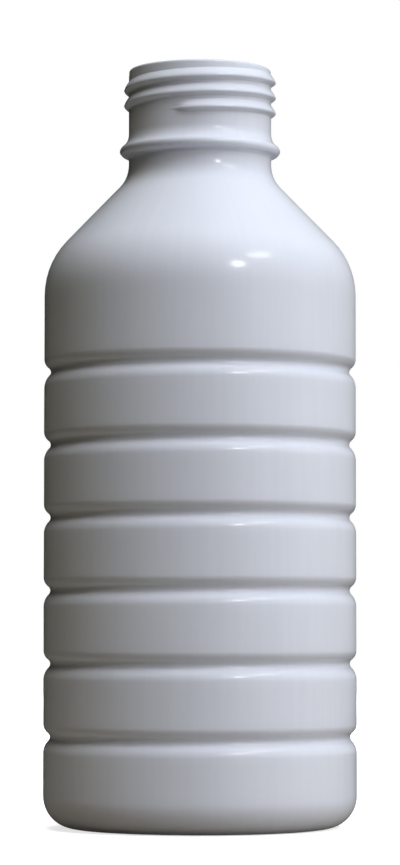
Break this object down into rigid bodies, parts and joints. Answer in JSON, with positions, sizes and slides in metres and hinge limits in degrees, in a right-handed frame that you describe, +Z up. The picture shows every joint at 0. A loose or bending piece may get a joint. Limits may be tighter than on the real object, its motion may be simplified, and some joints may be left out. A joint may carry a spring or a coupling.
{
  "type": "agrochemical bottle",
  "caption": "Round one-litre blow-moulded plastic bottle with ribbed sides, a conical shoulder and a wide screw neck with a bead, open and without its cap.",
  "frame": {"origin": "centre of the ring that the bottle stands on, on the bottle's axis", "axes": "+Z up along the bottle's axis, out of its mouth; the front of the picture faces -Y"},
  "size_m": [0.09, 0.09, 0.219],
  "materials": {
    "hdpe": "opaque cool-white blow-moulded polyethylene, semi-gloss outside, duller inside"
  },
  "bodies": {
    "root": {"bottle": "hdpe"}
  },
  "joints": []
}
